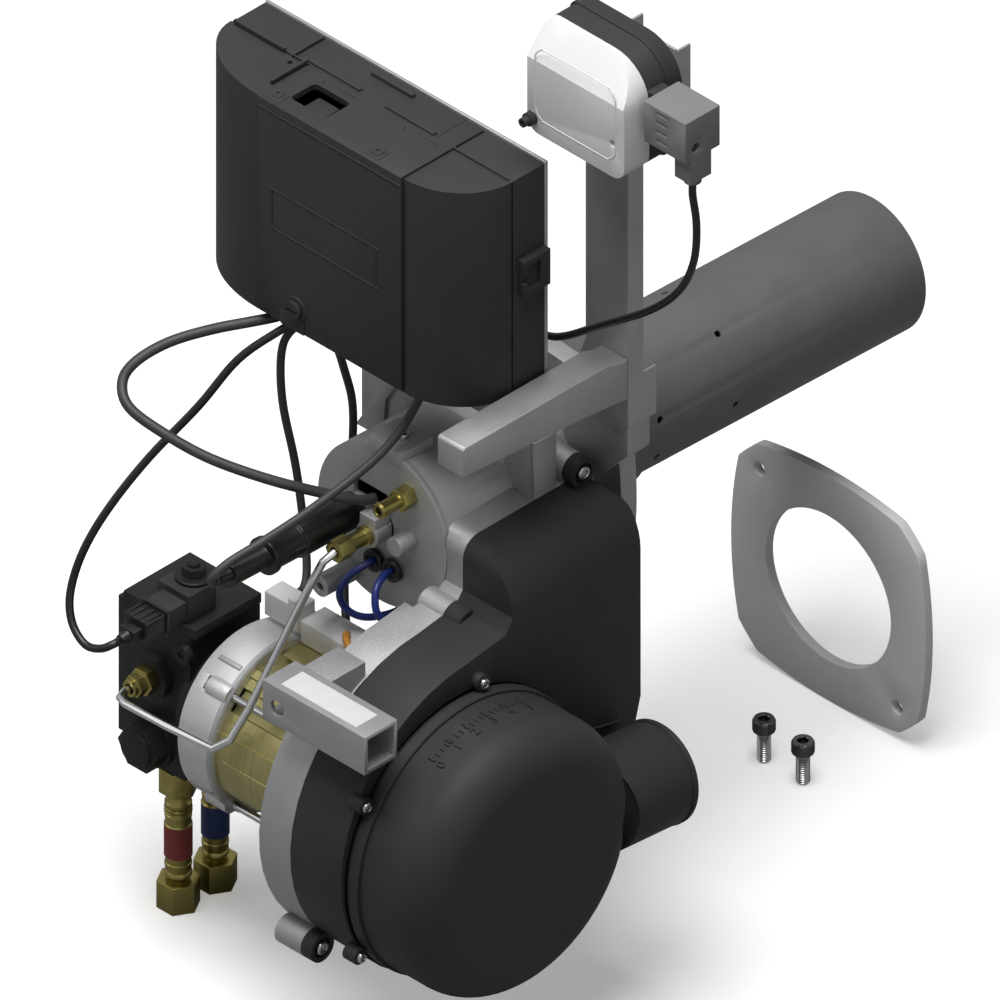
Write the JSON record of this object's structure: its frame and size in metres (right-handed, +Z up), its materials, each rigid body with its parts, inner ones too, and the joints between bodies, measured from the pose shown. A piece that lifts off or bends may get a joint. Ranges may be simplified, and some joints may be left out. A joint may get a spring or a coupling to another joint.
{
  "type": "oil burner",
  "caption": "Forced-draught oil burner with flanged blast tube, fan scroll, motor, fuel pump with hoses, control box and air switch.",
  "frame": {"origin": "centre of the mounting flange's boiler-side face", "axes": "+Y into the boiler, square to the flange; +Z up; +X to the fan side"},
  "size_m": [0.318, 0.5111, 0.61],
  "materials": {
    "cast_aluminium": "satin bead-blasted casting",
    "tube_steel": "satin dark grey heat-proof coat",
    "bright_steel": "bright drawn steel",
    "screw_steel": "bright zinc",
    "zinc_sheet": "satin zinc-plated sheet",
    "brass": "turned brass",
    "laminations": "yellow passivated laminations",
    "black_moulding": "fine spark-eroded black moulding",
    "box_moulding": "dark grey moulding",
    "pump_black": "matt black enamel on cast iron",
    "white_moulding": "white moulding",
    "grey_moulding": "mid grey moulding",
    "ceramic": "glazed ceramic rods",
    "black_rubber": "soft black rubber",
    "grey_rubber": "dark grey cable sheath",
    "blue_silicone": "glossy blue silicone",
    "orange_silicone": "orange silicone",
    "red_sleeve": "red hose sleeve in brass ferrules",
    "blue_sleeve": "blue hose sleeve in brass ferrules",
    "gasket_board": "pressed ceramic fibre board"
  },
  "bodies": {
    "burner": {"housing_casting": "cast_aluminium", "blast_tube": "tube_steel", "tube_collar": "tube_steel", "nozzle_holder": "bright_steel", "nozzle": "brass", "diffuser_disc": "tube_steel", "electrodes": "ceramic", "end_cover": "cast_aluminium", "oil_block": "cast_aluminium", "line_nut": "brass", "oil_line": "bright_steel", "measuring_nipple": "brass", "sight_pin": "cast_aluminium", "spacer_pin": "zinc_sheet", "lead_grommets": "black_rubber", "ignition_lead_a": "blue_silicone", "ignition_lead_b": "blue_silicone", "flame_sensor": "black_rubber", "sensor_cable": "grey_rubber", "fan_cover": "black_moulding", "motor_stator": "laminations", "motor_end_cap": "cast_aluminium", "through_bolts": "screw_steel", "pump_body": "pump_black", "regulator_cap": "pump_black", "outlet_fitting": "brass", "solenoid_coil": "box_moulding", "coil_nut": "pump_black", "coil_plug": "black_rubber", "coil_cable": "black_rubber", "supply_hose": "red_sleeve", "return_hose": "blue_sleeve", "box_back_shell": "box_moulding", "box_cover": "box_moulding", "centre_cover": "box_moulding", "box_latch": "black_moulding", "mounting_plate": "zinc_sheet", "strap_bracket": "zinc_sheet", "switch_body": "black_moulding", "switch_cover": "white_moulding", "switch_plug": "grey_moulding", "switch_cable": "black_rubber", "support_arm": "cast_aluminium", "square_tube": "zinc_sheet", "capacitor": "white_moulding", "capacitor_lead": "orange_silicone", "cover_screws": "screw_steel", "gasket": "gasket_board", "gasket_screws": "screw_steel", "conduit": "grey_rubber", "control_cable": "grey_rubber", "motor_cable": "grey_rubber"},
    "rotor": {"fan_wheel": "zinc_sheet", "motor_shaft": "bright_steel", "pump_coupling": "black_rubber"},
    "air_intake": {"intake_housing": "black_moulding"},
    "reset_button": {"reset_button": "black_moulding"},
    "cover_fastener": {"cover_fastener": "black_moulding"},
    "supply_nut": {"supply_nut": "brass"},
    "return_nut": {"return_nut": "brass"}
  },
  "joints": [
    {"name": "fan_spin", "type": "hinge", "parent": "burner", "child": "rotor", "pos_m": [0.05, -0.165, -0.124], "axis": [1, 0, 0], "continuous": true},
    {"name": "air_setting", "type": "hinge", "parent": "burner", "child": "air_intake", "pos_m": [0.13, -0.165, -0.124], "axis": [1, 0, 0], "range_deg": [-15, 15]},
    {"name": "reset_press", "type": "slide", "parent": "burner", "child": "reset_button", "axis": [0, 0, -1], "range_m": [0, 0.003], "stiffness_N_per_m": 300, "springref_m": -0.002},
    {"name": "fastener_turn", "type": "hinge", "parent": "burner", "child": "cover_fastener", "pos_m": [-0.0544, -0.134, 0.1268], "axis": [0, 1, 0], "range_deg": [0, 90]},
    {"name": "supply_nut_turn", "type": "hinge", "parent": "burner", "child": "supply_nut", "pos_m": [-0.098, -0.18, -0.26], "axis": [0, 0, 1], "continuous": true},
    {"name": "return_nut_turn", "type": "hinge", "parent": "burner", "child": "return_nut", "pos_m": [-0.098, -0.1515, -0.26], "axis": [0, 0, 1], "continuous": true}
  ]
}
